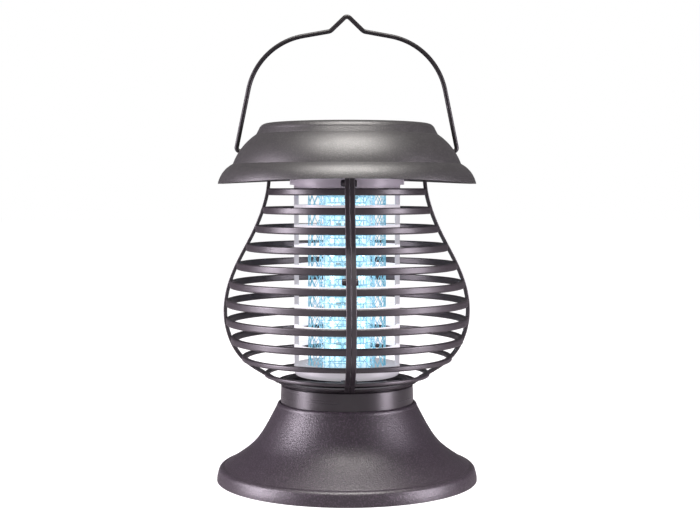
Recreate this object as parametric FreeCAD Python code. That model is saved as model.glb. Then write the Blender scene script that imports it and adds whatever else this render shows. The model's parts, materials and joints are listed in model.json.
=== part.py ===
import FreeCAD, Part
import math
import os
from FreeCAD import Vector

# Solar insect-killer lantern: hat-shaped head, two-part slatted cage, lit grid unit and bell base.
# Millimetres. +Z is up, the origin is at the middle of the base's underside, -Y is the front.

X_AXIS = Vector(1, 0, 0)
Y_AXIS = Vector(0, 1, 0)
Z_AXIS = Vector(0, 0, 1)

# Overall
HEAD_TOP = 199.8
BRIM_R = 72.4
BRIM_BOTTOM = 166.3
BASE_R = 73.5
SCREW_HOLE_GAP = 0.04

# Head shell
PLATEAU_R = 45.2
UPPER_CREASE = (50.8, 193.8)
LOWER_CREASE = (63.8, 177.4)
LIP = 1.6
TOP_THICKNESS = 3.4
BRIM_SADDLE = 2.7
BRIM_SPARE = 1.0
PANEL_SIDE = 62.0
PANEL_GAP = 0.3
PANEL_POCKET = 1.9
LEAD_HOLE_R = 2.0
CORNERS = [45, 135, 225, 315]

# Underplate that closes the head
PLATE_Z = 171.6
PLATE_THICKNESS = 1.8
PLATE_R = 64.2
PLATE_HOLE_R = 11.0
HEAD_SCREW_RING = 53.0
CAGE_SCREW_RING = 42.6
BOSS_R = 3.2

# Cage
RING_COUNT = 9
RING_TOP_Z = 161.9
RING_PITCH = 10.36
RING_HEIGHT = 3.9
LOW_RINGS = [(68.7, 2.8), (59.4, 2.2)]
RING_DEPTH = 2.8
RING_ROUND = 0.8
RIB_THICKNESS = 1.9
RIB_PROUD = 1.0
RIB_ROUND = 0.45
SIDE_RIB_WIDTH = 4.6
SEAM_RIB_WIDTH = 2.65
SEAM_GAP = 0.1
CAGE_OUTLINE = [
    (44.7, 171.6), (45.2, 163.5), (47.9, 152.7), (53.4, 139.3), (60.5, 125.8), (66.4, 112.2),
    (69.4, 95.2), (67.3, 81.6), (59.5, 67.9), (44.6, 57.6), (39.3, 54.2),
]
FLANGE_INNER = 39.0
FLANGE_OUTER = 46.6
FLANGE_THICKNESS = 2.0
CAGE_BOSS_R = 1.9
CAGE_BOSS_LENGTH = 3.7
CAGE_BOSS_PLACES = [(42.2, 166.5), (61.9, 115.3), (40.8, 59.4)]

# Bayonet between the cage's skirt and the catch cup
CUP_TOP = 53.5
CUP_R_TOP = 37.2
CUP_R_LOW = 37.6
CUP_BORE = 35.7
CUP_FLOOR = 37.6
SKIRT_R = 35.3
SKIRT_BORE = 33.8
SKIRT_BOTTOM = 46.5
COLLAR_R = 39.4
COLLAR_TOP = 55.9
BAYONET_TURN = 20.0
LUG_HALF_ANGLE = 4.5
LUG_Z = (49.0, 51.0)
LUG_TIP_R = 34.0
LUG_GAP = 0.3
LUG_GAP_ANGLE = 0.5

# Base
NECK_BORE = 37.9
NECK_TOP = 43.6
SHELF_Z = 34.0
SHELF_THICKNESS = 2.0
SHELF_HOLE_R = 12.0
BASE_RIM_TOP = (72.5, 5.2)
BASE_SHOULDER = (69.4, 7.9)
BASE_OUTLINE = [
    BASE_SHOULDER, (65.4, 10.4), (59.6, 14.3), (55.7, 17.4), (52.0, 21.0), (48.9, 25.0), (45.2, 31.0),
    (42.0, 37.0), (39.6, 41.6),
]
BASE_INNER_OUTLINE = [
    (67.9, 6.2), (64.2, 8.5), (58.4, 12.4), (54.2, 15.7), (50.3, 19.5), (47.1, 23.6), (43.3, 29.8),
    (41.1, SHELF_Z),
]
BASE_RIM_INNER = 70.6
STAND_SCREW_RING = 22.0
STAND_SCREW_ANGLES = [30, 150, 270]

# White frame that carries the grids
FRAME_R = 29.8
FRAME_FLANGE_R = 32.0
FRAME_FLANGE_Z = 165.8
FRAME_HEAD_Z = 160.0
FRAME_RING_TOP = 65.0
FRAME_BOTTOM = 58.6
FRAME_BORE = 23.0
POST_WIDTH = 3.2
POST_DEPTH = 2.6
HOOP_TOP = 154.65
HOOP_PITCH = 11.2
HOOP_HEIGHT = 2.6
HOOP_DEPTH = 1.9
HOOP_COUNT = 8
HUB_R = 16.5
HUB_HEIGHT = 2.4

# Grids and light
OUTER_GRID_R = 22.2
INNER_GRID_R = 15.9
GRID_THICKNESS = 0.6
TUBE_R = 13.4
TUBE_WALL = 1.2
TUBE_TOP = 170.8
LED_BOARD_WIDTH = 22.0
LED_BOARD_THICKNESS = 1.2
LED_ROWS = 7
LED_COLUMNS = [-8.2, 8.2]
LED_SIZE = (3.5, 1.4, 2.8)

# Bail
WIRE_R = 1.25
PIVOT_Z = 184.5
PIVOT_CLEARANCE = 0.06
PIVOT_BOSS_R = 4.2
PIVOT_PAD_R = 4.0
PIVOT_PAD_X = 60.0
BAIL_PIN_END = 56.6
BAIL_ROUTE = [(62.1, PIVOT_Z, 1.9), (49.8, 244.0, 38.0), (9.3, 251.2, 3.5), (0.0, 260.1, 2.2)]

# Circuit board, cell and switch
BOARD_Z = 176.0
BOARD_SIZE = (78.0, 56.0, 1.6)
CELL_R = 7.25
CELL_LENGTH = 50.0
CELL_Y = 17.0
CELL_Z = 186.4
SWITCH_Y = 56.5
SWITCH_BODY = (12.0, 5.6, 4.6)
SWITCH_TRAVEL = 2.5
KNOB_STEM = (2.4, 2.4)
KNOB_CAP = (5.0, 3.6, 2.4)


def point(radius, height):
    return Vector(radius, 0, height)


def line(start, end):
    return Part.LineSegment(point(*start), point(*end)).toShape()


def arc(start, middle, end):
    return Part.Arc(point(*start), point(*middle), point(*end)).toShape()


def polyline(corners):
    return [line(a, b) for a, b in zip(corners, corners[1:])]


def spline(places):
    curve = Part.BSplineCurve()
    curve.interpolate([point(*place) for place in places])
    return curve


def turned(edges):
    solid = Part.Face(Part.Wire(edges)).revolve(Vector(0, 0, 0), Z_AXIS, 360)
    return solid if solid.Volume > 0 else solid.reversed()


def turned_polygon(corners):
    return turned(polyline(corners + corners[:1]))


def tube(inner, outer, bottom, top):
    return turned_polygon([(inner, bottom), (outer, bottom), (outer, top), (inner, top)])


def box(size, centre, bottom):
    corner = Vector(centre[0] - size[0] / 2, centre[1] - size[1] / 2, bottom)
    return Part.makeBox(size[0], size[1], size[2], corner)


def cylinder(radius, bottom, height, place=(0, 0)):
    return Part.makeCylinder(radius, height, Vector(place[0], place[1], bottom), Z_AXIS)


def sideways_cylinder(radius, start, end, y, z):
    return Part.makeCylinder(radius, end - start, Vector(start, y, z), X_AXIS)


def on_circle(radius, angle):
    return radius * math.cos(math.radians(angle)), radius * math.sin(math.radians(angle))


def spun(shape, angle):
    copy = shape.copy()
    copy.rotate(Vector(0, 0, 0), Z_AXIS, angle)
    return copy


def fused(shapes):
    return shapes[0].multiFuse(shapes[1:]).removeSplitter()


def sector(inner, outer, bottom, top, start_angle, end_angle):
    face = Part.Face(Part.Wire(polyline([
        (inner, bottom), (outer, bottom), (outer, top), (inner, top), (inner, bottom)])))
    face.rotate(Vector(0, 0, 0), Z_AXIS, start_angle)
    return face.revolve(Vector(0, 0, 0), Z_AXIS, end_angle - start_angle)


def rounded(shape, radius, keep_edge):
    return shape.makeFillet(radius, [edge for edge in shape.Edges if keep_edge(edge)])


def is_vertical(edge):
    low, high = edge.Vertexes[0].Point, edge.Vertexes[-1].Point
    return abs(low.x - high.x) < 1e-6 and abs(low.y - high.y) < 1e-6


def pan_screw(head_r, head_height, shank_r, length):
    """A cross-slotted screw: its head's seat is at the origin and its shank runs up +Z."""
    dome = 0.35 * head_height
    head = turned([
        line((0, 0), (head_r, 0)),
        line((head_r, 0), (head_r, dome - head_height)),
        arc((head_r, dome - head_height), (0.55 * head_r, -0.92 * head_height), (0, -head_height)),
        line((0, -head_height), (0, 0)),
    ])
    slot = box((1.3 * head_r, 0.3 * head_r, head_height), (0, 0), -1.5 * head_height)
    cross = slot.fuse(spun(slot, 90))
    tip = Part.makeCone(shank_r, 0.3 * shank_r, shank_r, Vector(0, 0, length - shank_r), Z_AXIS)
    shank = cylinder(shank_r, -0.3 * head_height, length - shank_r + 0.3 * head_height).fuse(tip)
    return head.cut(cross).fuse(shank).removeSplitter()


def upward(screw, place, seat):
    copy = screw.copy()
    copy.translate(Vector(place[0], place[1], seat))
    return copy


HEAD_SCREW = pan_screw(2.6, 1.5, 1.3, 9.0)
CAGE_FLANGE_SCREW = pan_screw(2.2, 1.3, 1.1, 7.0)
SEAM_SCREW = pan_screw(1.75, 1.2, 0.95, 6.6)
STAND_SCREW = pan_screw(2.9, 1.7, 1.5, 8.0)


# ---- head -------------------------------------------------------------------------------------

def head_outside():
    """The solid inside the hat's outer skin, with spare under the brim for the saddle trim."""
    below = BRIM_BOTTOM - BRIM_SPARE
    return turned([
        line((0, HEAD_TOP), (PLATEAU_R, HEAD_TOP)),
        arc((PLATEAU_R, HEAD_TOP), (48.0, 198.6), (49.4, 196.4)),
        line((49.4, 196.4), UPPER_CREASE),
        arc(UPPER_CREASE, (58.6, 186.6), LOWER_CREASE),
        arc(LOWER_CREASE, (69.3, 172.8), (BRIM_R, below)),
        line((BRIM_R, below), (0, below)),
        line((0, below), (0, HEAD_TOP)),
    ])


def head_hollow():
    """The space under the hat, one wall thickness inside its skin."""
    roof = HEAD_TOP - TOP_THICKNESS
    below = BRIM_BOTTOM - 2 * BRIM_SPARE
    return turned([
        line((0, roof), (46.6, roof)),
        line((46.6, roof), (49.0, 192.2)),
        arc((49.0, 192.2), (56.9, 185.4), (62.1, 176.0)),
        arc((62.1, 176.0), (67.9, 171.3), (BRIM_R - LIP, below)),
        line((BRIM_R - LIP, below), (0, below)),
        line((0, below), (0, roof)),
    ])


def below_saddle():
    """All that is under the brim's edge, which is lowest at the sides and rises to front and back."""
    reach = BRIM_R + 5
    rise = BRIM_SADDLE * (reach / BRIM_R) ** 2
    low = BRIM_BOTTOM - 3 * BRIM_SPARE
    front_top = Vector(-reach, -reach, BRIM_BOTTOM + rise)
    back_top = Vector(-reach, reach, BRIM_BOTTOM + rise)
    front_low = Vector(-reach, -reach, low)
    back_low = Vector(-reach, reach, low)
    face = Part.Face(Part.Wire([
        Part.Arc(front_top, Vector(-reach, 0, BRIM_BOTTOM), back_top).toShape(),
        Part.LineSegment(back_top, back_low).toShape(),
        Part.LineSegment(back_low, front_low).toShape(),
        Part.LineSegment(front_low, front_top).toShape(),
    ]))
    return face.extrude(Vector(2 * reach, 0, 0))


def make_head_shell():
    outside = head_outside()
    shell = outside.cut(head_hollow())
    bosses = []
    for angle in CORNERS:
        boss = cylinder(BOSS_R, PLATE_Z + PLATE_THICKNESS, HEAD_TOP - PLATE_Z, on_circle(HEAD_SCREW_RING, angle))
        bosses.append(boss.common(outside))
    for angle in (0, 180):
        boss = sideways_cylinder(PIVOT_BOSS_R, BAIL_PIN_END - 0.6, BRIM_R, 0, PIVOT_Z)
        bosses.append(spun(boss, angle).common(outside))
    shell = fused([shell] + bosses)
    shell = shell.cut(below_saddle())
    pocket_side = PANEL_SIDE + 2 * PANEL_GAP
    pocket = box((pocket_side, pocket_side, PANEL_POCKET + 1), (0, 0), HEAD_TOP - PANEL_POCKET)
    holes = [rounded(pocket, 2.0, is_vertical)]
    holes.append(cylinder(LEAD_HOLE_R, HEAD_TOP - 2 * TOP_THICKNESS, 2 * TOP_THICKNESS, (0, -PANEL_SIDE / 3)))
    holes.append(sideways_cylinder(WIRE_R + PIVOT_CLEARANCE, -BRIM_R, BRIM_R, 0, PIVOT_Z))
    for angle in (0, 180):
        holes.append(spun(sideways_cylinder(PIVOT_PAD_R, PIVOT_PAD_X, BRIM_R, 0, PIVOT_Z), angle))
    for angle in CORNERS:
        place = on_circle(HEAD_SCREW_RING, angle)
        holes.append(cylinder(1.3 + SCREW_HOLE_GAP, PLATE_Z, 10.0, place))
    return shell.cut(holes)


def make_head_underplate():
    plate = tube(PLATE_HOLE_R, PLATE_R, PLATE_Z, PLATE_Z + PLATE_THICKNESS)
    pads = [cylinder(BOSS_R, PLATE_Z, 6.0, on_circle(CAGE_SCREW_RING, angle)) for angle in CORNERS]
    plate = fused([plate] + pads)
    cuts = []
    for angle in CORNERS:
        cuts.append(cylinder(1.1 + SCREW_HOLE_GAP, PLATE_Z - 1, 6.3, on_circle(CAGE_SCREW_RING, angle)))
        cuts.append(cylinder(1.5, PLATE_Z - 1, 4.0, on_circle(HEAD_SCREW_RING, angle)))
    slot = (KNOB_STEM[0] + 2 * SWITCH_TRAVEL + 0.6, KNOB_STEM[1] + 0.6, 4.0)
    cuts.append(box(slot, (0, SWITCH_Y), PLATE_Z - 1))
    return plate.cut(Part.makeCompound(cuts))


def make_head_screws():
    return [upward(HEAD_SCREW, on_circle(HEAD_SCREW_RING, angle), PLATE_Z) for angle in CORNERS]


def panel_layer(bottom, thickness, side):
    return rounded(box((side, side, thickness), (0, 0), bottom), 1.6, is_vertical)


PANEL_FLOOR = HEAD_TOP - PANEL_POCKET
BACKING_THICKNESS = 0.8
CELL_LAYER = 0.3
COVER_THICKNESS = 0.7


def make_solar_backing():
    backing = panel_layer(PANEL_FLOOR, BACKING_THICKNESS, PANEL_SIDE)
    return backing.cut(cylinder(LEAD_HOLE_R, PANEL_FLOOR - 1, 3, (0, -PANEL_SIDE / 3)))


def make_solar_cells():
    count = 8
    pitch = (PANEL_SIDE - 4.0) / count
    size = (pitch - 0.5, PANEL_SIDE - 5.0, CELL_LAYER)
    bottom = PANEL_FLOOR + BACKING_THICKNESS
    return [box(size, ((i - (count - 1) / 2) * pitch, 0), bottom) for i in range(count)]


def make_solar_cover():
    return panel_layer(PANEL_FLOOR + BACKING_THICKNESS + CELL_LAYER, COVER_THICKNESS, PANEL_SIDE)


# ---- inside the head --------------------------------------------------------------------------

BOARD_TOP = BOARD_Z + BOARD_SIZE[2]


def make_main_circuit_board():
    board = rounded(box(BOARD_SIZE, (0, 0), BOARD_Z), 12.0, is_vertical)
    pad_clearance = [cylinder(BOSS_R + 0.4, BOARD_Z - 1, 4.0, on_circle(CAGE_SCREW_RING, a)) for a in CORNERS]
    holes = [cylinder(1.0, BOARD_Z - 1, 4.0, (x, 0)) for x in (-8.0, 8.0)]
    return board.cut(Part.makeCompound(pad_clearance + holes))


def make_board_posts():
    """Four spacers between the underplate and the board."""
    bottom = PLATE_Z + PLATE_THICKNESS
    places = [(x, y) for x in (-20, 20) for y in (-20, 20)]
    return [cylinder(2.0, bottom, BOARD_Z - bottom, place) for place in places]


def make_hv_transformer():
    core = box((14.0, 12.0, 4.0), (-20, -13), BOARD_TOP)
    core = core.fuse(box((14.0, 12.0, 4.0), (-20, -13), BOARD_TOP + 8.0))
    core = core.fuse(box((14.0, 4.0, 12.0), (-20, -13), BOARD_TOP))
    winding = box((9.0, 11.0, 4.0), (-20, -13), BOARD_TOP + 4.0)
    return core.fuse(rounded(winding, 1.5, is_vertical)).removeSplitter()


def make_hv_capacitors():
    size = (4.6, 11.0, 9.0)
    return [rounded(box(size, (x, -13), BOARD_TOP), 0.8, is_vertical) for x in (-4, 4, 12)]


def make_storage_capacitor():
    can = Part.makeCylinder(4.0, 11.5, Vector(23, -13, BOARD_TOP), Z_AXIS)
    return can.makeFillet(0.8, [can.Edges[0]])


def make_board_chips():
    places = [(-32, 4), (-10, 2), (0, 3), (32, 2)]
    return [box((4.0, 5.0, 1.5), place, BOARD_TOP) for place in places]


def make_cell_holder():
    length = CELL_LENGTH + 12.0
    width = 2 * CELL_R + 3.0
    tray = box((length, width, CELL_Z - BOARD_TOP), (0, CELL_Y), BOARD_TOP)
    trough = sideways_cylinder(CELL_R + 0.3, -CELL_LENGTH / 2 - 4.0, CELL_LENGTH / 2 + 4.0, CELL_Y, CELL_Z)
    return tray.cut(trough)


def make_cell():
    body = sideways_cylinder(CELL_R, -CELL_LENGTH / 2, CELL_LENGTH / 2 - 1.2, CELL_Y, CELL_Z)
    body = body.makeFillet(0.6, body.Edges)
    nub = sideways_cylinder(2.7, CELL_LENGTH / 2 - 1.3, CELL_LENGTH / 2, CELL_Y, CELL_Z)
    return body.fuse(nub).removeSplitter()


def make_cell_contacts():
    """A flat plate at the cell's nub and a conical spring's plate and coil at its other end."""
    plate = Part.makeBox(0.5, 9.0, 7.0, Vector(CELL_LENGTH / 2 + 0.2, CELL_Y - 4.5, CELL_Z - 6.0))
    far_plate = Part.makeBox(0.5, 9.0, 7.0, Vector(-CELL_LENGTH / 2 - 3.9, CELL_Y - 4.5, CELL_Z - 6.0))
    coils = []
    for i, radius in enumerate((3.6, 3.0, 2.4)):
        centre = Vector(-CELL_LENGTH / 2 - 3.0 + i * 1.0, CELL_Y, CELL_Z)
        coils.append(Part.makeTorus(radius, 0.35, centre, X_AXIS))
    return [plate, far_plate] + coils


def make_switch_body():
    bottom = PLATE_Z + PLATE_THICKNESS
    body = box(SWITCH_BODY, (0, SWITCH_Y), bottom)
    channel = (KNOB_STEM[0] + 2 * SWITCH_TRAVEL + 0.6, KNOB_STEM[1] + 0.6, 2.6)
    return body.cut(box(channel, (0, SWITCH_Y), bottom))


def make_switch_knob():
    stem_bottom = PLATE_Z - 0.6
    cap = rounded(box(KNOB_CAP, (0, SWITCH_Y), stem_bottom - KNOB_CAP[2] + 0.2), 0.5, lambda edge: True)
    stem = box((KNOB_STEM[0], KNOB_STEM[1], PLATE_THICKNESS + 2.6), (0, SWITCH_Y), stem_bottom)
    grooves = []
    for x in (-1.2, 0, 1.2):
        grooves.append(box((0.5, KNOB_CAP[1] + 1, 0.8), (x, SWITCH_Y), stem_bottom - KNOB_CAP[2]))
    return cap.cut(Part.makeCompound(grooves)).fuse(stem).removeSplitter()


# ---- cage -------------------------------------------------------------------------------------

CAGE_CURVE = spline(CAGE_OUTLINE)


def cage_radius(height):
    """Outer radius of the ribs at a height, found by halving along the falling outline."""
    low, high = CAGE_CURVE.FirstParameter, CAGE_CURVE.LastParameter
    for _ in range(50):
        middle = (low + high) / 2
        if CAGE_CURVE.value(middle).z > height:
            low = middle
        else:
            high = middle
    return CAGE_CURVE.value(low).x


def inward_outline():
    """The outline's own points moved in by the rib's thickness, square to the curve."""
    places = []
    for radius, height in CAGE_OUTLINE:
        tangent = CAGE_CURVE.tangent(CAGE_CURVE.parameter(point(radius, height)))[0]
        places.append((radius + RIB_THICKNESS * tangent.z, height - RIB_THICKNESS * tangent.x))
    return places


def rib(width, offset):
    """A strap along the cage outline in the XZ plane, from offset to offset + width in Y."""
    inner_places = inward_outline()
    outer_edge = CAGE_CURVE.toShape()
    inner_edge = spline(inner_places).toShape()
    top = line(CAGE_OUTLINE[0], inner_places[0])
    bottom = line(CAGE_OUTLINE[-1], inner_places[-1])
    face = Part.Face(Part.Wire(Part.sortEdges([outer_edge, top, inner_edge, bottom])[0]))
    strap = face.extrude(Vector(0, width, 0))
    strap.translate(Vector(0, offset, 0))
    return rounded(strap, RIB_ROUND, lambda edge: edge.Length > 50)


def cage_ring(outer, middle_z, ring_height):
    """A ring whose corners are rounded off in short flats."""
    steps = (0, 30, 60, 90)
    corners = []
    for turn in (0, 90, 180, 270):
        for step in steps:
            c, s = math.cos(math.radians(turn + step)), math.sin(math.radians(turn + step))
            across = (RING_DEPTH / 2 - RING_ROUND) * (1 if turn in (0, 270) else -1) + RING_ROUND * c
            up = (ring_height / 2 - RING_ROUND) * (1 if turn in (0, 90) else -1) + RING_ROUND * s
            corners.append((outer - RING_DEPTH / 2 + across, middle_z + up))
    return turned_polygon(corners)


def cage_rings():
    places = [(RING_TOP_Z - i * RING_PITCH, RING_HEIGHT) for i in range(RING_COUNT)] + LOW_RINGS
    rings = []
    for middle_z, ring_height in places:
        rings.append(cage_ring(cage_radius(middle_z) - RIB_PROUD, middle_z, ring_height))
    return rings


def cage_skirt():
    """The skirt that plugs into the catch cup, with the collar that takes the ribs' lower ends."""
    seat = CUP_TOP + LUG_GAP
    return turned_polygon([
        (SKIRT_BORE, SKIRT_BOTTOM), (SKIRT_R, SKIRT_BOTTOM), (SKIRT_R, seat), (CUP_R_TOP - 0.2, seat),
        (COLLAR_R, COLLAR_TOP - 0.8), (COLLAR_R - 0.4, COLLAR_TOP), (SKIRT_BORE + 1.0, COLLAR_TOP),
        (SKIRT_BORE, COLLAR_TOP - 1.4),
    ])


def bayonet_slots():
    """L-shaped slots: a run along the lock and a way down to the skirt's edge."""
    low, high = LUG_Z[0] - LUG_GAP, LUG_Z[1] + LUG_GAP
    reach = LUG_HALF_ANGLE + LUG_GAP_ANGLE
    slots = []
    for angle in CORNERS:
        entry = angle - BAYONET_TURN
        slots.append(sector(SKIRT_BORE - 1, SKIRT_R + 0.2, low, high, entry - reach, angle + reach))
        slots.append(sector(SKIRT_BORE - 1, SKIRT_R + 0.2, SKIRT_BOTTOM - 1, high, entry - reach, entry + reach))
    return slots


def seam_bosses():
    bosses = []
    for side in (-1, 1):
        for radius, height in CAGE_BOSS_PLACES:
            bosses.append(sideways_cylinder(CAGE_BOSS_R, 0, CAGE_BOSS_LENGTH, side * radius, height))
    return bosses


def seam_holes():
    holes = []
    for side in (-1, 1):
        for radius, height in CAGE_BOSS_PLACES:
            holes.append(sideways_cylinder(0.95 + SCREW_HOLE_GAP, -10, 10, side * radius, height))
    return holes


def make_cage_right():
    half_space = Part.makeBox(200, 400, PLATE_Z, Vector(SEAM_GAP / 2, -200, 0))
    flange = tube(FLANGE_INNER, FLANGE_OUTER, PLATE_Z - FLANGE_THICKNESS, PLATE_Z)
    solids = [flange, cage_skirt()] + cage_rings() + seam_bosses()
    solids.append(rib(SIDE_RIB_WIDTH, -SIDE_RIB_WIDTH / 2))
    solids.append(spun(rib(SEAM_RIB_WIDTH, SEAM_GAP / 2), -90))
    solids.append(spun(rib(SEAM_RIB_WIDTH, -SEAM_RIB_WIDTH - SEAM_GAP / 2), 90))
    half = fused([solid.common(half_space) for solid in solids])
    flange_holes = []
    for angle in CORNERS:
        flange_holes.append(cylinder(1.3, PLATE_Z - 4, 8, on_circle(CAGE_SCREW_RING, angle)))
    return half.cut(Part.makeCompound(seam_holes() + flange_holes)).cut(Part.makeCompound(bayonet_slots()))


def make_cage_left(right_half):
    """The other half: the right half turned half a turn, so that the bayonet slots still match."""
    return spun(right_half, 180)


def make_seam_screws():
    screws = []
    for side in (-1, 1):
        for radius, height in CAGE_BOSS_PLACES:
            screw = SEAM_SCREW.copy()
            screw.rotate(Vector(0, 0, 0), Y_AXIS, 90)
            screw.translate(Vector(-CAGE_BOSS_LENGTH, side * radius, height))
            screws.append(screw)
    return screws


def make_cage_flange_screws():
    seat = PLATE_Z - FLANGE_THICKNESS
    return [upward(CAGE_FLANGE_SCREW, on_circle(CAGE_SCREW_RING, angle), seat) for angle in CORNERS]


# ---- grid unit --------------------------------------------------------------------------------

def make_grid_frame():
    head = turned_polygon([
        (TUBE_R + 0.3, FRAME_HEAD_Z), (FRAME_R, FRAME_HEAD_Z), (FRAME_R, FRAME_FLANGE_Z),
        (FRAME_FLANGE_R, FRAME_FLANGE_Z), (FRAME_FLANGE_R, PLATE_Z), (TUBE_R + 0.3, PLATE_Z),
    ])
    bottom_ring = turned([
        line((FRAME_BORE, FRAME_BOTTOM), (FRAME_R - 2.5, FRAME_BOTTOM)),
        arc((FRAME_R - 2.5, FRAME_BOTTOM), (FRAME_R - 0.7, FRAME_BOTTOM + 0.8), (FRAME_R, FRAME_BOTTOM + 2.5)),
        line((FRAME_R, FRAME_BOTTOM + 2.5), (FRAME_R, FRAME_RING_TOP)),
        line((FRAME_R, FRAME_RING_TOP), (FRAME_BORE, FRAME_RING_TOP)),
        line((FRAME_BORE, FRAME_RING_TOP), (FRAME_BORE, FRAME_BOTTOM)),
    ])
    hub = tube(HUB_R - 4.7, HUB_R, FRAME_BOTTOM, FRAME_BOTTOM + HUB_HEIGHT)
    solids = [head, bottom_ring, hub]
    for angle in CORNERS:
        spoke = box((FRAME_BORE - HUB_R + 2, 3.0, HUB_HEIGHT), ((FRAME_BORE + HUB_R) / 2, 0), FRAME_BOTTOM)
        solids.append(spun(spoke, angle))
    for i in range(HOOP_COUNT):
        top = HOOP_TOP - i * HOOP_PITCH
        solids.append(tube(FRAME_R - HOOP_DEPTH, FRAME_R, top - HOOP_HEIGHT, top))
    post_height = FRAME_HEAD_Z - FRAME_RING_TOP + 2
    for angle in (0, 90, 180, 270):
        post = box((POST_DEPTH, POST_WIDTH, post_height), (FRAME_R - POST_DEPTH / 2 - 0.1, 0), FRAME_RING_TOP - 1)
        solids.append(spun(post, angle))
    return fused(solids)


GRID_BOTTOM = FRAME_BOTTOM + HUB_HEIGHT


def make_outer_grid():
    return tube(OUTER_GRID_R - GRID_THICKNESS, OUTER_GRID_R, GRID_BOTTOM, FRAME_HEAD_Z)


def make_inner_grid():
    return tube(INNER_GRID_R - GRID_THICKNESS, INNER_GRID_R, GRID_BOTTOM, FRAME_HEAD_Z)


def make_light_tube():
    return tube(TUBE_R - TUBE_WALL, TUBE_R, GRID_BOTTOM + 1.6, TUBE_TOP)


def make_tube_cap():
    """A shallow cap that closes the tube's lower end and sits on the hub."""
    bore = TUBE_R - TUBE_WALL
    return turned_polygon([
        (0, GRID_BOTTOM), (TUBE_R, GRID_BOTTOM), (TUBE_R, GRID_BOTTOM + 1.6), (bore - 0.05, GRID_BOTTOM + 1.6),
        (bore - 0.05, GRID_BOTTOM + 4.0), (0, GRID_BOTTOM + 4.0),
    ])


LED_BOARD_BOTTOM = GRID_BOTTOM + 4.0


def make_led_board():
    height = TUBE_TOP - 1.0 - LED_BOARD_BOTTOM
    return box((LED_BOARD_WIDTH, LED_BOARD_THICKNESS, height), (0, 0), LED_BOARD_BOTTOM)


def make_leds():
    first = LED_BOARD_BOTTOM + 8.0
    pitch = (FRAME_HEAD_Z - 8.0 - first) / (LED_ROWS - 1)
    depth = (LED_BOARD_THICKNESS + LED_SIZE[1]) / 2
    leds = []
    for i in range(LED_ROWS):
        for x in LED_COLUMNS:
            for side in (-1, 1):
                leds.append(box(LED_SIZE, (x, side * depth), first + i * pitch))
    return leds


# ---- bail -------------------------------------------------------------------------------------

def rounded_route(corners):
    """Straight runs joined by tangent arcs; each corner is (x, z, bend radius)."""
    edges = []
    start = corners[0][:2]
    for before, corner, after in zip(corners, corners[1:], corners[2:]):
        middle = point(corner[0], corner[1])
        back = (point(before[0], before[1]) - middle).normalize()
        forward = (point(after[0], after[1]) - middle).normalize()
        half_turn = (math.pi - back.getAngle(forward)) / 2
        reach = corner[2] * math.tan(half_turn)
        inward = (back + forward).normalize()
        arc_start = middle + back * reach
        arc_end = middle + forward * reach
        arc_middle = middle + inward * (corner[2] / math.cos(half_turn) - corner[2])
        edges.append(Part.LineSegment(point(*start), arc_start).toShape())
        edges.append(Part.Arc(arc_start, arc_middle, arc_end).toShape())
        start = (arc_end.x, arc_end.z)
    edges.append(Part.LineSegment(point(*start), point(*corners[-1][:2])).toShape())
    return Part.Wire(edges)


def make_bail():
    right = [(BAIL_PIN_END, PIVOT_Z, 0)] + BAIL_ROUTE
    left = [(-x, z, bend) for x, z, bend in reversed(right[:-1])]
    path = rounded_route(right + left)
    section = Part.Wire(Part.makeCircle(WIRE_R, point(BAIL_PIN_END, PIVOT_Z), X_AXIS))
    return path.makePipeShell([section], True, False)


# ---- stand ------------------------------------------------------------------------------------

def make_catch_cup():
    bottom = SHELF_Z + SHELF_THICKNESS
    cup = turned_polygon([
        (0, bottom), (CUP_R_LOW, bottom), (CUP_R_LOW, NECK_TOP - 1), (CUP_R_TOP + 0.02, CUP_TOP - 0.5),
        (CUP_R_TOP - 0.4, CUP_TOP), (CUP_BORE, CUP_TOP), (CUP_BORE, CUP_FLOOR), (0, CUP_FLOOR),
    ])
    lugs = []
    for angle in CORNERS:
        start, end = angle - LUG_HALF_ANGLE, angle + LUG_HALF_ANGLE
        lugs.append(sector(LUG_TIP_R, CUP_BORE + 0.5, LUG_Z[0], LUG_Z[1], start, end))
    bosses = []
    holes = []
    for angle in STAND_SCREW_ANGLES:
        place = on_circle(STAND_SCREW_RING, angle)
        bosses.append(cylinder(3.4, CUP_FLOOR - 0.5, 5.0, place))
        holes.append(cylinder(1.5 + SCREW_HOLE_GAP, bottom - 1, 7.0, place))
    return fused([cup] + lugs + bosses).cut(Part.makeCompound(holes))


def make_base_shell():
    outer = spline(BASE_OUTLINE).toShape()
    inner = spline(BASE_INNER_OUTLINE).toShape()
    shelf_top = SHELF_Z + SHELF_THICKNESS
    bell = turned([
        outer,
        arc(BASE_OUTLINE[-1], (39.1, 42.9), (NECK_BORE + 0.4, NECK_TOP)),
        line((NECK_BORE + 0.4, NECK_TOP), (NECK_BORE, NECK_TOP - 0.4)),
        line((NECK_BORE, NECK_TOP - 0.4), (NECK_BORE, shelf_top)),
        line((NECK_BORE, shelf_top), (SHELF_HOLE_R, shelf_top)),
        line((SHELF_HOLE_R, shelf_top), (SHELF_HOLE_R, SHELF_Z)),
        line((SHELF_HOLE_R, SHELF_Z), BASE_INNER_OUTLINE[-1]),
        inner,
        line(BASE_INNER_OUTLINE[0], (BASE_RIM_INNER, 0)),
        line((BASE_RIM_INNER, 0), (BASE_R, 0)),
        arc((BASE_R, 0), (73.2, 2.7), BASE_RIM_TOP),
        arc(BASE_RIM_TOP, (71.7, 6.9), BASE_SHOULDER),
    ])
    holes = [cylinder(1.7, SHELF_Z - 1, 4, on_circle(STAND_SCREW_RING, angle)) for angle in STAND_SCREW_ANGLES]
    return bell.cut(Part.makeCompound(holes))


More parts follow.
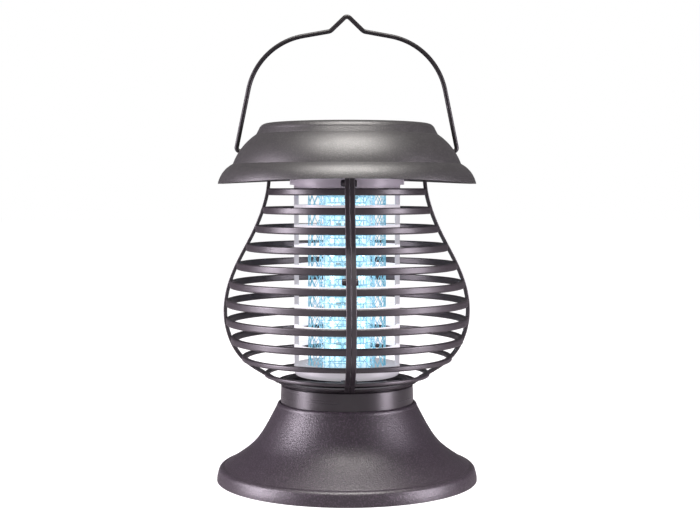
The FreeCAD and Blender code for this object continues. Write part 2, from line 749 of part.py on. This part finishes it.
def make_stand_screws():
    return [upward(STAND_SCREW, on_circle(STAND_SCREW_RING, angle), SHELF_Z) for angle in STAND_SCREW_ANGLES]


# ---- write every node -------------------------------------------------------------------------

def main():
    cage_right = make_cage_right()
    nodes = {
        "head_shell": make_head_shell(),
        "head_underplate": make_head_underplate(),
        "head_screws": make_head_screws(),
        "solar_backing": make_solar_backing(),
        "solar_cells": make_solar_cells(),
        "solar_cover": make_solar_cover(),
        "main_circuit_board": make_main_circuit_board(),
        "board_posts": make_board_posts(),
        "hv_transformer": make_hv_transformer(),
        "hv_capacitors": make_hv_capacitors(),
        "storage_capacitor": make_storage_capacitor(),
        "board_chips": make_board_chips(),
        "cell_holder": make_cell_holder(),
        "rechargeable_cell": make_cell(),
        "cell_contacts": make_cell_contacts(),
        "switch_body": make_switch_body(),
        "switch_knob": make_switch_knob(),
        "cage_right": cage_right,
        "cage_left": make_cage_left(cage_right),
        "cage_seam_screws": make_seam_screws(),
        "cage_flange_screws": make_cage_flange_screws(),
        "grid_frame": make_grid_frame(),
        "outer_grid": make_outer_grid(),
        "inner_grid": make_inner_grid(),
        "light_tube": make_light_tube(),
        "tube_cap": make_tube_cap(),
        "led_board": make_led_board(),
        "leds": make_leds(),
        "bail": make_bail(),
        "catch_cup": make_catch_cup(),
        "base_shell": make_base_shell(),
        "stand_screws": make_stand_screws(),
    }
    os.makedirs("parts", exist_ok=True)
    for name, shape in nodes.items():
        if isinstance(shape, list):
            shape = Part.makeCompound(shape)
        bounds = shape.BoundBox
        print(f"{name}: solids {len(shape.Solids)} valid {shape.isValid()} volume {shape.Volume:.0f}"
              f" z {bounds.ZMin:.2f} to {bounds.ZMax:.2f}")
        shape.exportStep(f"parts/{name}.step")


main()
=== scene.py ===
import itertools
import json
import math

import bpy
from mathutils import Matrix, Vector


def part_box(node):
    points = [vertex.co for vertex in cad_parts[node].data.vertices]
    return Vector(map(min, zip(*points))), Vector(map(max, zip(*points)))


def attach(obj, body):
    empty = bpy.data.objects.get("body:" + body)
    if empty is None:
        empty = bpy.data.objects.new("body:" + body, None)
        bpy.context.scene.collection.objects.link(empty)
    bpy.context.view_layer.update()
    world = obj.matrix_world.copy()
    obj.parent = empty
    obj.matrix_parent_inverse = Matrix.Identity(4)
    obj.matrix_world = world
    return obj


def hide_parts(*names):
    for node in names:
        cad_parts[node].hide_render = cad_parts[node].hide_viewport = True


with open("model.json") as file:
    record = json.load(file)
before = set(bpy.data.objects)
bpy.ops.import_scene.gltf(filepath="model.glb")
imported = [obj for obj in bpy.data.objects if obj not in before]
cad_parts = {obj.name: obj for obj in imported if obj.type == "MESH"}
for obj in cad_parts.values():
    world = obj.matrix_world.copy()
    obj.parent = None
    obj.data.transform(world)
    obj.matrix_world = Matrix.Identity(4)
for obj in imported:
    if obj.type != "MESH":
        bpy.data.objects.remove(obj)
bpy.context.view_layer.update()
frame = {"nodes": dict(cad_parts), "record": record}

# The looks of the solar insect-killer lantern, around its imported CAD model. Lengths are in metres.

MM = 0.001
nodes = frame["nodes"]
scene = bpy.context.scene

# ---- camera, floor and light ----------------------------------------------------------------

CAMERA_AZIMUTH = -2.0        # in degrees, like the pitch
CAMERA_PITCH = 3.175
CAMERA_DISTANCE = 0.745
CAMERA_HEIGHT = 0.1634
CAMERA_LENS = 68.14
CAMERA_SENSOR = 36.0
CAMERA_CLIP = 0.05
CAMERA_SHIFT = 0.0043

AMBIENT_COLOUR = (1.0, 0.97, 1.0)
AMBIENT_STRENGTH = 0.13

FLOOR_HALF_SIZE = 6.0
FLOOR_DROP = 0.0002
PAPER_COLOUR = (0.38, 0.36, 0.38)
PAPER_SHINE = 0.97

WHITE = (1.0, 1.0, 1.0)
LAVENDER = (0.98, 0.87, 1.0)
WARM_WHITE = (1.0, 0.965, 0.93)
COOL_WHITE = (1.0, 0.97, 1.0)


def around(azimuth, distance, height):
    """A place at an azimuth from the front, positive to the right."""
    turn = math.radians(azimuth)
    return (distance * math.sin(turn), -distance * math.cos(turn), height)


# Each light: its place, the height on the axis that it points at, its size, power and colour.
LIGHTS = {
    "left_low": (around(-80, 0.85, 0.26), 0.14, (0.34, 0.68), 12.4, LAVENDER),
    "right_low": (around(68, 0.85, 0.20), 0.11, (0.30, 0.54), 8.1, LAVENDER),
    "top_box": ((0.02, -0.20, 1.02), 0.12, (0.62, 0.40), 13.0, WARM_WHITE),
    "front_fill": ((0.0, -1.5, 0.35), 0.10, (1.0, 0.8), 0.9, COOL_WHITE),
}


def make_camera():
    data = bpy.data.cameras.new("camera")
    data.lens = CAMERA_LENS
    data.sensor_width = CAMERA_SENSOR
    data.shift_x = CAMERA_SHIFT
    data.clip_start = CAMERA_CLIP
    camera = bpy.data.objects.new("camera", data)
    scene.collection.objects.link(camera)
    camera.location = around(CAMERA_AZIMUTH, CAMERA_DISTANCE, CAMERA_HEIGHT)
    tilt = math.pi / 2 - math.radians(CAMERA_PITCH)
    camera.rotation_euler = (tilt, 0, math.radians(CAMERA_AZIMUTH))
    scene.camera = camera


def make_lights():
    for name, (place, target_height, size, power, colour) in LIGHTS.items():
        data = bpy.data.lights.new(name, "AREA")
        data.shape = "RECTANGLE"
        data.size, data.size_y = size
        data.energy = power
        data.color = colour
        light = bpy.data.objects.new(name, data)
        scene.collection.objects.link(light)
        light.location = place
        aim = Vector((0, 0, target_height)) - Vector(place)
        light.rotation_euler = aim.to_track_quat("-Z", "Y").to_euler()
        light.visible_camera = False


def seen_or_lighting(tree, lighting, seen, output):
    """Sends one shader to the camera's own rays and another to all the rest."""
    mix = tree.nodes.new("ShaderNodeMixShader")
    path = tree.nodes.new("ShaderNodeLightPath")
    tree.links.new(path.outputs["Is Camera Ray"], mix.inputs["Fac"])
    tree.links.new(lighting, mix.inputs[1])
    tree.links.new(seen, mix.inputs[2])
    tree.links.new(mix.outputs["Shader"], output.inputs["Surface"])


def make_world():
    """White to the camera, softer as a light, so that edges don't wash out."""
    world = bpy.data.worlds.new("studio")
    scene.world = world
    world.use_nodes = True
    tree = world.node_tree
    tree.nodes.clear()
    output = tree.nodes.new("ShaderNodeOutputWorld")
    seen = tree.nodes.new("ShaderNodeBackground")
    ambient = tree.nodes.new("ShaderNodeBackground")
    seen.inputs["Color"].default_value = (*WHITE, 1)
    seen.inputs["Strength"].default_value = 1.0
    ambient.inputs["Color"].default_value = (*AMBIENT_COLOUR, 1)
    ambient.inputs["Strength"].default_value = AMBIENT_STRENGTH
    seen_or_lighting(tree, ambient.outputs["Background"], seen.outputs["Background"], output)
    scene.view_settings.view_transform = "Standard"


def make_floor():
    """Pale paper: bright to the eye, but it throws little light back up at the lantern."""
    mesh = bpy.data.meshes.new("floor")
    signs = ((-1, -1), (1, -1), (1, 1), (-1, 1))
    corners = [(x * FLOOR_HALF_SIZE, y * FLOOR_HALF_SIZE, 0) for x, y in signs]
    mesh.from_pydata(corners, [], [(0, 1, 2, 3)])
    floor = bpy.data.objects.new("floor", mesh)
    scene.collection.objects.link(floor)
    floor.location.z = -FLOOR_DROP
    material = bpy.data.materials.new("floor_paper")
    material.use_nodes = True
    tree = material.node_tree
    tree.nodes.clear()
    output = tree.nodes.new("ShaderNodeOutputMaterial")
    paper = tree.nodes.new("ShaderNodeBsdfDiffuse")
    shine = tree.nodes.new("ShaderNodeEmission")
    both = tree.nodes.new("ShaderNodeAddShader")
    paper.inputs["Color"].default_value = (*PAPER_COLOUR, 1)
    shine.inputs["Color"].default_value = (*WHITE, 1)
    shine.inputs["Strength"].default_value = PAPER_SHINE
    tree.links.new(paper.outputs["BSDF"], both.inputs[0])
    tree.links.new(shine.outputs["Emission"], both.inputs[1])
    seen_or_lighting(tree, paper.outputs["BSDF"], both.outputs["Shader"], output)
    mesh.materials.append(material)


# ---- materials ------------------------------------------------------------------------------

SPECULAR = 0.9
NOISE_SPREAD = (0.3, 0.7)       # noise seldom leaves this range
EDGE_RADIUS = 0.5 * MM
EDGE_SAMPLES = 4
EDGE_FLAT = 0.995               # cosine between rounded and plain normals where wear begins
EDGE_SHARP = 0.80               # and where it is full
EDGE_WEAR = 0.4


class Paint:
    """One procedural material: a Principled shader and helpers that wire its textures.

    The plain colour and roughness stand in for the textures where those can't be read.
    """

    def __init__(self, name, colour, roughness):
        self.material = bpy.data.materials.new(name)
        self.material.use_nodes = True
        self.tree = self.material.node_tree
        self.shader = self.tree.nodes["Principled BSDF"]
        self.shader.inputs["Base Color"].default_value = (*colour, 1)
        self.shader.inputs["Roughness"].default_value = roughness
        self.shader.inputs["Specular IOR Level"].default_value = SPECULAR
        self.coordinates = self.node("ShaderNodeTexCoord").outputs["Object"]
        self.last_bump = None

    def node(self, kind, **settings):
        made = self.tree.nodes.new(kind)
        for key, value in settings.items():
            setattr(made, key, value)
        return made

    def link(self, start, end):
        self.tree.links.new(start, end)

    def wire(self, **sockets):
        """Links outputs to the shader's inputs, named with _ for each space."""
        for key, output in sockets.items():
            self.link(output, self.shader.inputs[key.replace("_", " ")])

    def set(self, **values):
        """Sets the shader's own inputs, named with _ for each space."""
        for key, value in values.items():
            self.shader.inputs[key.replace("_", " ")].default_value = value

    def noise(self, size, detail=2.0, scale=(1, 1, 1)):
        """Noise with features about size across, drawn out along axes whose scale is below 1."""
        mapping = self.node("ShaderNodeMapping")
        mapping.inputs["Scale"].default_value = scale
        texture = self.node("ShaderNodeTexNoise")
        texture.inputs["Scale"].default_value = 1 / size
        texture.inputs["Detail"].default_value = detail
        self.link(self.coordinates, mapping.inputs["Vector"])
        self.link(mapping.outputs["Vector"], texture.inputs["Vector"])
        return texture.outputs["Fac"]

    def cells(self, size, smooth=0.6):
        """Distance to the middle of the nearest of many cells, each about size across."""
        texture = self.node("ShaderNodeTexVoronoi", feature="SMOOTH_F1")
        texture.inputs["Scale"].default_value = 1 / size
        texture.inputs["Smoothness"].default_value = smooth
        self.link(self.coordinates, texture.inputs["Vector"])
        return texture.outputs["Distance"]

    def ramp(self, value, low, high, start=0.0, end=1.0):
        """Maps value from low..high onto start..end."""
        mapper = self.node("ShaderNodeMapRange")
        limits = {"From Min": low, "From Max": high, "To Min": start, "To Max": end}
        for key, number in limits.items():
            mapper.inputs[key].default_value = number
        self.link(value, mapper.inputs["Value"])
        return mapper.outputs["Result"]

    def maths(self, operation, *values):
        node = self.node("ShaderNodeMath", operation=operation)
        for socket, value in zip(node.inputs, values):
            self.link(value, socket)
        return node.outputs["Value"]

    def split(self):
        """The place on the object as three outputs named X, Y and Z."""
        node = self.node("ShaderNodeSeparateXYZ")
        self.link(self.coordinates, node.inputs["Vector"])
        return node.outputs

    def blend(self, factor, first, second):
        """Mixes two colours, each one a tuple or another node's output."""
        mix = self.node("ShaderNodeMix", data_type="RGBA")
        self.link(factor, mix.inputs["Factor"])
        for key, colour in (("A", first), ("B", second)):
            if isinstance(colour, tuple):
                mix.inputs[key].default_value = (*colour, 1)
            else:
                self.link(colour, mix.inputs[key])
        return mix.outputs["Result"]

    def vary_roughness(self, texture, low, high, spread=NOISE_SPREAD):
        """Lets the roughness wander from low to high with a texture."""
        self.wire(Roughness=self.ramp(texture, *spread, low, high))

    def bump(self, height, depth):
        """Adds a bump on top of the last one, and returns the material."""
        bump = self.node("ShaderNodeBump")
        bump.inputs["Distance"].default_value = depth
        self.link(height, bump.inputs["Height"])
        if self.last_bump is not None:
            self.link(self.last_bump, bump.inputs["Normal"])
        self.last_bump = bump.outputs["Normal"]
        self.wire(Normal=self.last_bump)
        return self.material

    def edge_wear(self, colour, worn):
        """Lightens convex edges, found by the angle between rounded and plain normals."""
        bevel = self.node("ShaderNodeBevel", samples=EDGE_SAMPLES)
        bevel.inputs["Radius"].default_value = EDGE_RADIUS
        geometry = self.node("ShaderNodeNewGeometry")
        dot = self.node("ShaderNodeVectorMath", operation="DOT_PRODUCT")
        self.link(bevel.outputs["Normal"], dot.inputs[0])
        self.link(geometry.outputs["Normal"], dot.inputs[1])
        factor = self.ramp(dot.outputs["Value"], EDGE_FLAT, EDGE_SHARP, 0.0, EDGE_WEAR)
        self.wire(Base_Color=self.blend(factor, colour, worn))


def scaled(colour, factor):
    return tuple(min(1.0, factor * part) for part in colour)


# Mouldings and other unplated parts: darkest and palest colour, roughness, size and depth of
# grain. The head and the base also have specks, so many times paler, and a pattern of cells.
MOULDINGS = {
    "head_plastic": dict(
        dark=(0.018, 0.017, 0.018), light=(0.023, 0.022, 0.022), roughness=0.43,
        grain=0.58 * MM, depth=0.066 * MM, speckle=1.8, cell=0.70 * MM),
    "cage_plastic": dict(
        dark=(0.024, 0.019, 0.023), light=(0.029, 0.023, 0.028), roughness=0.40,
        grain=0.35 * MM, depth=0.016 * MM),
    "base_plastic": dict(
        dark=(0.021, 0.015, 0.021), light=(0.027, 0.020, 0.027), roughness=0.40,
        grain=0.62 * MM, depth=0.080 * MM, specular=0.86, speckle=2.1, cell=0.78 * MM),
    "switch_plastic": dict(
        dark=(0.016, 0.016, 0.017), light=(0.022, 0.022, 0.022), roughness=0.4,
        grain=0.3 * MM, depth=0.006 * MM),
    "chip_plastic": dict(
        dark=(0.012, 0.012, 0.013), light=(0.02, 0.02, 0.02), roughness=0.45,
        grain=0.2 * MM, depth=0.005 * MM),
    "panel_backing": dict(
        dark=(0.30, 0.31, 0.33), light=(0.36, 0.37, 0.39), roughness=0.4,
        grain=0.5 * MM, depth=0.003 * MM),
    "circuit_board": dict(
        dark=(0.01, 0.09, 0.03), light=(0.014, 0.11, 0.04), roughness=0.3,
        grain=0.8 * MM, depth=0.004 * MM),
    "ferrite": dict(
        dark=(0.03, 0.03, 0.033), light=(0.05, 0.05, 0.05), roughness=0.5,
        grain=0.3 * MM, depth=0.01 * MM),
    "capacitor_film": dict(
        dark=(0.22, 0.05, 0.015), light=(0.27, 0.06, 0.02), roughness=0.25,
        grain=0.9 * MM, depth=0.01 * MM),
    "cell_wrap": dict(
        dark=(0.03, 0.14, 0.06), light=(0.04, 0.16, 0.07), roughness=0.25,
        grain=2 * MM, depth=0.01 * MM),
}

# Metals: colour and roughness.
METALS = {
    "screw_steel": ((0.10, 0.10, 0.11), 0.38),
    "contact_metal": ((0.62, 0.60, 0.55), 0.25),
    "capacitor_can": ((0.55, 0.56, 0.58), 0.3),
}

MOTTLE_SIZE = 9 * MM
GLOSS_PATCH = 4 * MM
GLOSS_BELOW, GLOSS_ABOVE = 0.02, 0.03
SPECK_SHARE = (0.52, 0.62)      # the noise above which a speck begins, and is full
SPECK_SIZE = 1.3                # in grains
WORN = 1.7                      # how many times paler a worn edge is
METAL_SHADE = 0.7               # how dark metal gets, as a share of its colour
METAL_GLOSS_BELOW, METAL_GLOSS_ABOVE = 0.08, 0.10


def moulded(name, dark, light, roughness, grain, depth, specular=SPECULAR, speckle=None, cell=None):
    """Injection-moulded plastic: mottled colour, uneven gloss, spark grain, paler edges."""
    paint = Paint(name, dark, roughness)
    paint.set(Specular_IOR_Level=specular)
    colour = paint.blend(paint.noise(MOTTLE_SIZE, detail=3.0), dark, light)
    if speckle:
        specks = paint.ramp(paint.noise(SPECK_SIZE * grain, detail=1.0), *SPECK_SHARE)
        colour = paint.blend(specks, colour, scaled(light, speckle))
    paint.edge_wear(colour, scaled(light, WORN))
    patches = paint.noise(GLOSS_PATCH, detail=4.0)
    paint.vary_roughness(patches, roughness - GLOSS_BELOW, roughness + GLOSS_ABOVE)
    if cell:
        paint.bump(paint.cells(cell), depth)
    return paint.bump(paint.noise(grain), depth)


def cast_metal(name, colour, roughness):
    """Plated or drawn metal, a little uneven in colour and gloss."""
    paint = Paint(name, colour, roughness)
    shade = paint.noise(2.0 * MM, detail=5.0)
    paint.wire(Base_Color=paint.blend(shade, scaled(colour, METAL_SHADE), colour))
    patches = paint.noise(0.8 * MM, detail=4.0)
    paint.vary_roughness(
        patches, roughness - METAL_GLOSS_BELOW, roughness + METAL_GLOSS_ABOVE)
    paint.set(Metallic=1.0)
    return paint.bump(paint.noise(0.25 * MM, detail=3.0), depth=0.006 * MM)


# Where the frame's zones of painted lamp light end. The posts stand on the X and Y planes, and the
# rest are heights.
POST_EDGE = (1.7 * MM, 1.9 * MM)
RING_LEVEL = (65 * MM, 66 * MM)
HEAD_LEVEL = (162 * MM, 152 * MM)
LOWER_HOOP_LEVEL = (142 * MM, 134 * MM)
# Painted lamp light: the posts glow a little, the hoops more and the lower hoops most, while the
# upper hoops near the head are left in painted shade. The flange under the head gets no glow and a
# paler base colour in its place.
POST_PAINTED_GLOW = 0.32
HOOP_PAINTED_GLOW = 0.62
LOWER_HOOP_PAINTED_GLOW = 0.24
PAINTED_GLOW_COLOUR = (0.94, 0.92, 0.97)
UNLIT = (0.02, 0.02, 0.02)
FLANGE_WHITE = (0.80, 0.76, 0.82)
LIT_WHITES = ((0.26, 0.245, 0.27), (0.31, 0.295, 0.32))     # low, because the glow adds to them


def make_frame_plastic():
    """Off-white moulding with the lamp's light painted on as a glow: most in the lower hoops, least
    at the flange.
    """
    paint = Paint("frame_plastic", (0.37, 0.35, 0.38), roughness=0.4)
    place = paint.split()
    across = [paint.maths("ABSOLUTE", place[axis]) for axis in "XY"]
    off_post = paint.ramp(paint.maths("MINIMUM", *across), *POST_EDGE)
    above_ring = paint.ramp(place["Z"], *RING_LEVEL)
    below_head = paint.ramp(place["Z"], *HEAD_LEVEL)
    hoop = paint.maths("MULTIPLY", paint.maths("MULTIPLY", off_post, above_ring), below_head)
    lower_hoop = paint.maths("MULTIPLY", hoop, paint.ramp(place["Z"], *LOWER_HOOP_LEVEL))
    # The glow is painted lamp light, weakest on the posts and strongest on the lower hoops.
    glow = paint.maths(
        "ADD",
        paint.ramp(hoop, 0.0, 1.0, POST_PAINTED_GLOW, HOOP_PAINTED_GLOW),
        paint.ramp(lower_hoop, 0.0, 1.0, 0.0, LOWER_HOOP_PAINTED_GLOW),
    )
    mottle = paint.blend(paint.noise(7 * MM, detail=3.0), *LIT_WHITES)
    paint.wire(
        Emission_Color=paint.blend(below_head, UNLIT, PAINTED_GLOW_COLOUR),
        Emission_Strength=glow,
        Base_Color=paint.blend(below_head, FLANGE_WHITE, mottle),
    )
    return paint.bump(paint.noise(0.6 * MM, detail=3.0), depth=0.004 * MM)


def make_cup_plastic():
    """Smooth satin moulding with faint turning lines round it."""
    dark, light, worn = (0.012, 0.009, 0.012), (0.015, 0.012, 0.015), (0.042, 0.034, 0.042)
    paint = Paint("cup_plastic", (0.024, 0.018, 0.024), roughness=0.29)
    mottle = paint.ramp(paint.noise(14 * MM), low=0.35, high=0.65)
    paint.edge_wear(paint.blend(mottle, dark, light), worn)
    lines = paint.noise(0.6 * MM, scale=(0.02, 0.02, 1))
    paint.vary_roughness(lines, low=0.27, high=0.32)
    return paint.bump(lines, depth=0.004 * MM)


BOARD_PAINTED_GLOW = 0.74
BOARD_PAINT = (0.35, 0.35, 0.35, 1)     # how much of the tracks' colour the lacquer itself has
TRACKS = {
    "Scale": 1 / (4.6 * MM),
    "Brick Width": 1.0,
    "Row Height": 0.72,
    "Mortar Size": 0.085,
    "Mortar Smooth": 0.3,
    "Color1": (0.50, 0.82, 0.93, 1),
    "Color2": (0.95, 0.99, 1.0, 1),
    "Mortar": (0.02, 0.16, 0.26, 1),
}


def make_led_board():
    """The lamp's board, with the lamp's light painted on as a glow: pale lacquer with teal tracks
    that cross it in steps.
    """
    paint = Paint("led_board", (0.62, 0.90, 1.0), roughness=0.35)
    place = paint.split()
    upright = paint.node("ShaderNodeCombineXYZ")
    paint.link(place["X"], upright.inputs["X"])
    paint.link(place["Z"], upright.inputs["Y"])
    tracks = paint.node("ShaderNodeTexBrick")
    for key, value in TRACKS.items():
        tracks.inputs[key].default_value = value
    paint.link(upright.outputs["Vector"], tracks.inputs["Vector"])
    dimmed = paint.node("ShaderNodeMix", data_type="RGBA", blend_type="MULTIPLY")
    dimmed.inputs["Factor"].default_value = 1.0
    dimmed.inputs["B"].default_value = BOARD_PAINT
    paint.link(tracks.outputs["Color"], dimmed.inputs["A"])
    # Painted lamp light: the board glows in the tracks' colours, though the board itself is no lamp.
    paint.wire(Base_Color=dimmed.outputs["Result"], Emission_Color=tracks.outputs["Color"])
    paint.set(Emission_Strength=BOARD_PAINTED_GLOW)
    return paint.bump(tracks.outputs["Fac"], depth=0.03 * MM)


def make_bail_paint():
    """Black coating on wire: thick and a little uneven."""
    dark, light = (0.006, 0.005, 0.006), (0.011, 0.009, 0.010)
    paint = Paint("bail_wire", (0.008, 0.007, 0.008), roughness=0.30)
    paint.wire(Base_Color=paint.blend(paint.noise(3 * MM, detail=3.0), dark, light))
    paint.vary_roughness(paint.noise(4 * MM, detail=3.0), low=0.36, high=0.44)
    paint.set(Specular_IOR_Level=0.45)
    return paint.bump(paint.noise(3 * MM), depth=0.006 * MM)


def make_grid_metal():
    """Bare grid metal, with the lamp's cyan light painted on as a patchy teal to cyan glow."""
    teal, cyan = (0.04, 0.28, 0.42), (0.28, 0.66, 0.82)
    paint = Paint("grid_metal", (0.30, 0.42, 0.50), roughness=0.35)
    patches = paint.ramp(paint.noise(3.0 * MM, detail=4.0), low=0.38, high=0.62)
    # Painted lamp light: the grid glows teal to cyan, though it is no lamp.
    paint.wire(Emission_Color=paint.blend(patches, teal, cyan))
    paint.set(Metallic=1.0, Emission_Strength=0.65)
    paint.vary_roughness(paint.noise(0.8 * MM, detail=4.0), low=0.28, high=0.45)
    return paint.bump(paint.noise(0.3 * MM, detail=3.0), depth=0.006 * MM)


def make_led_light():
    """A lit lens: nearly white, with the least cyan."""
    colour = (0.72, 0.94, 1.0)
    paler = scaled(colour, 1.2)
    paint = Paint("led_light", colour, roughness=0.3)
    paint.set(Emission_Strength=2.0)
    paint.wire(Emission_Color=paint.blend(paint.noise(3 * MM), colour, paler))
    return paint.bump(paint.noise(0.8 * MM), depth=0.01 * MM)


def make_clear_tube():
    """Clear tube with fine draw lines along its length and a faint painted glow of the lamp's light,
    streaked like the lines.
    """
    deep, pale = (0.24, 0.52, 0.65), (0.90, 0.96, 1.0)
    paint = Paint("clear_tube", (0.80, 0.96, 1.0), roughness=0.06)
    paint.set(Transmission_Weight=1.0, IOR=1.12, Emission_Strength=0.25)
    streaks = paint.noise(2.6 * MM, scale=(1, 1, 0.02))
    # Painted lamp light: the tube glows deep to pale cyan along the same streaks that bump its draw
    # lines.
    paint.wire(Emission_Color=paint.blend(paint.ramp(streaks, low=0.42, high=0.58), deep, pale))
    return paint.bump(streaks, depth=0.05 * MM)


def make_clear_cover():
    """Thin clear film: mostly see-through, with a soft uneven gloss."""
    paint = Paint("clear_cover", (0.03, 0.04, 0.07), roughness=0.06)
    paint.set(Alpha=0.22)
    haze = paint.noise(6 * MM, detail=5.0)
    paint.vary_roughness(haze, low=0.04, high=0.14, spread=(0.4, 0.7))
    return paint.bump(paint.noise(3 * MM), depth=0.01 * MM)


FINGER_WAVES = 130.0
FINGER_SHARE = (0.95, 0.99)     # the wave's height where a finger begins, and is full
FINGER_SILVER = (0.50, 0.51, 0.53)


def make_cells():
    """Blue-black silicon with fine silver fingers across each strip."""
    dark, light = (0.006, 0.010, 0.040), (0.018, 0.034, 0.12)
    paint = Paint("solar_cells", (0.02, 0.03, 0.10), roughness=0.22)
    silicon = paint.blend(paint.cells(2.5 * MM, smooth=0.1), dark, light)
    wave = paint.node("ShaderNodeTexWave", bands_direction="Y")
    wave.inputs["Scale"].default_value = FINGER_WAVES
    paint.link(paint.coordinates, wave.inputs["Vector"])
    fingers = paint.ramp(wave.outputs["Fac"], *FINGER_SHARE)
    paint.wire(Base_Color=paint.blend(fingers, silicon, FINGER_SILVER))
    return paint.material


def make_materials():
    """Every material, by the record's slot name."""
    made = {name: moulded(name, **look) for name, look in MOULDINGS.items()}
    made.update({name: cast_metal(name, *look) for name, look in METALS.items()})
    made["cup_plastic"] = make_cup_plastic()
    made["frame_plastic"] = make_frame_plastic()
    made["bail_wire"] = make_bail_paint()
    made["grid_metal"] = make_grid_metal()
    made["clear_tube"] = make_clear_tube()
    made["led_light"] = make_led_light()
    made["led_board"] = make_led_board()
    made["clear_cover"] = make_clear_cover()
    made["solar_cells"] = make_cells()
    return made


def paint_nodes(materials):
    """Gives every CAD node the material of its slot."""
    for entry in frame["record"]["subparts"]:
        mesh = nodes[entry["node"]].data
        mesh.materials.clear()
        mesh.materials.append(materials[entry["material_slot"]])


# ---- wire and expanded metal grids ----------------------------------------------------------

CELL_WIDTH = 6.1 * MM
CELL_HEIGHT = 3.9 * MM
STRAND_R = 0.26 * MM
WIRE_R = 0.22 * MM
WIRE_COUNT = 26
HOOP_COUNT = 19
HOOP_STEPS = 72


def strand_curve(strand_r):
    curve = bpy.data.curves.new("strands", "CURVE")
    curve.dimensions = "3D"
    curve.bevel_depth = strand_r
    curve.bevel_resolution = 1
    return curve


def add_strand(curve, places, closed):
    strand = curve.splines.new("POLY")
    strand.points.add(len(places) - 1)
    strand.use_cyclic_u = closed
    for corner, place in zip(strand.points, places):
        corner.co = (*place, 1)


def on_circle(radius, angle, height):
    return (radius * math.cos(angle), radius * math.sin(angle), height)


def place_sleeve(name, node, curve, material):
    sleeve = bpy.data.objects.new(name, curve)
    scene.collection.objects.link(sleeve)
    curve.materials.append(material)
    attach(sleeve, "lantern")
    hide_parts(node)


def expanded_sleeve(name, node, material):
    """A cylinder of diamond mesh, where the CAD sleeve is: zigzags that meet at each bend."""
    low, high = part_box(node)
    radius = high.x - 2 * STRAND_R
    cells = round(2 * math.pi * radius / CELL_WIDTH)
    rows = round((high.z - low.z) / CELL_HEIGHT)
    pitch = (high.z - low.z - 2 * STRAND_R) / rows
    curve = strand_curve(STRAND_R)
    for row in range(rows):
        middle = low.z + STRAND_R + (row + 0.5) * pitch
        places = []
        for i in range(2 * cells):
            rise = pitch / 2 if i % 2 else -pitch / 2
            places.append(on_circle(radius, math.pi * (i + row) / cells, middle + rise))
        add_strand(curve, places, True)
    place_sleeve(name, node, curve, material)


def wire_sleeve(name, node, material):
    """A cylinder of upright wires welded to hoops, where the CAD sleeve is."""
    low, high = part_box(node)
    radius = high.x - 2 * WIRE_R
    curve = strand_curve(WIRE_R)
    for i in range(WIRE_COUNT):
        angle = 2 * math.pi * (i + 0.5) / WIRE_COUNT
        ends = [on_circle(radius, angle, z) for z in (low.z + WIRE_R, high.z - WIRE_R)]
        add_strand(curve, ends, False)
    gap = (high.z - low.z - 4 * WIRE_R) / (HOOP_COUNT - 1)
    turns = [2 * math.pi * i / HOOP_STEPS for i in range(HOOP_STEPS)]
    for row in range(HOOP_COUNT):
        height = low.z + 2 * WIRE_R + row * gap
        add_strand(curve, [on_circle(radius, turn, height) for turn in turns], True)
    place_sleeve(name, node, curve, material)


# ---- parts soldered to the lamp's board -----------------------------------------------------

CHIP_SIZE = Vector((3.2, 0.7, 1.6)) * MM
CHIP_ROWS = 14
CHIP_COLUMNS = (-4.6 * MM, 0.0, 4.6 * MM)
CHIP_GAP = 3                # every third diagonal of places is left empty
BOX_CORNERS = [Vector(corner) for corner in itertools.product((-0.5, 0.5), repeat=3)]
BOX_FACES = (
    (0, 1, 3, 2), (4, 6, 7, 5), (0, 4, 5, 1), (2, 3, 7, 6), (0, 2, 6, 4), (1, 5, 7, 3))


def board_chips(material):
    """Small resistors in rows between the lights, on both faces of the board."""
    low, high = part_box("led_board")
    pitch = (high.z - low.z) / CHIP_ROWS
    corners, faces = [], []
    for row in range(CHIP_ROWS):
        for column, x in enumerate(CHIP_COLUMNS):
            if (row + column) % CHIP_GAP == 0:
                continue
            for y in (low.y - CHIP_SIZE.y / 2, high.y + CHIP_SIZE.y / 2):
                middle = Vector((x, y, low.z + (row + 0.5) * pitch))
                faces += [[len(corners) + i for i in face] for face in BOX_FACES]
                corners += [middle + corner * CHIP_SIZE for corner in BOX_CORNERS]
    mesh = bpy.data.meshes.new("board_resistors")
    mesh.from_pydata(corners, [], faces)
    mesh.materials.append(material)
    chips = bpy.data.objects.new("board_resistors", mesh)
    scene.collection.objects.link(chips)
    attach(chips, "lantern")


# ---- put it together ------------------------------------------------------------------------

make_camera()
make_world()
make_lights()
make_floor()
materials = make_materials()
paint_nodes(materials)
expanded_sleeve("outer_mesh", "outer_grid", materials["grid_metal"])
wire_sleeve("inner_mesh", "inner_grid", materials["grid_metal"])
board_chips(materials["chip_plastic"])
